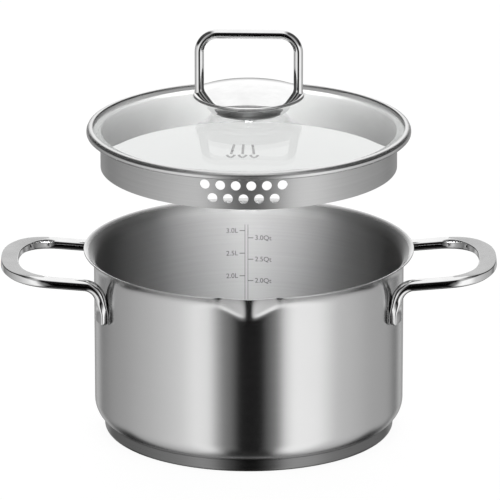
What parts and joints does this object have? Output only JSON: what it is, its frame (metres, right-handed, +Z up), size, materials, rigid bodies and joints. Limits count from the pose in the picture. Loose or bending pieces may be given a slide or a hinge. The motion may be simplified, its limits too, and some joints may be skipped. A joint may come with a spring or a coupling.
{
  "type": "saucepan with glass lid",
  "caption": "Stainless saucepan with two loop handles, a pouring spout and thick base, and a lift-off domed glass lid with a strainer skirt and loop knob.",
  "frame": {"origin": "centre of the base's underside, on the surface the pan stands on", "axes": "+Z up along the pan's axis; +X through the right-hand handle; the pouring spout and the strainer holes point to -Y"},
  "size_m": [0.3228, 0.2173, 0.2682],
  "materials": {
    "shell_steel": "satin brushed around the axis",
    "base_steel": "turned, slightly darker than the shell",
    "core_aluminium": "plain, enclosed",
    "rod_steel": "mirror polished rod",
    "lid_steel": "polished ring over a satin skirt",
    "knob_steel": "mirror polished",
    "clear_glass": "clear tempered",
    "seal_silicone": "matt grey silicone",
    "fastener_steel": "bright turned"
  },
  "bodies": {
    "pan": {"pan_body": "shell_steel", "base_core": "core_aluminium", "base_cap": "base_steel", "handle_left": "rod_steel", "handle_right": "rod_steel"},
    "lid_fastening": {"dome_nut": "fastener_steel", "spring_washer": "fastener_steel", "plain_washer": "fastener_steel", "under_seal": "seal_silicone"},
    "lid": {"lid_rim": "lid_steel", "lid_glass": "clear_glass", "knob_cup": "knob_steel", "knob_cover": "knob_steel", "knob_loop": "rod_steel", "knob_stud": "fastener_steel", "knob_seal": "seal_silicone", "hole_bush": "seal_silicone"}
  },
  "joints": [
    {"name": "lid_lift", "type": "slide", "parent": "pan", "child": "lid_fastening", "axis": [0, 0, 1], "range_m": [-0.079, 0.045]},
    {"name": "lid_turn", "type": "hinge", "parent": "lid_fastening", "child": "lid", "pos_m": [0, 0, 0.205], "axis": [0, 0, 1], "continuous": true}
  ]
}
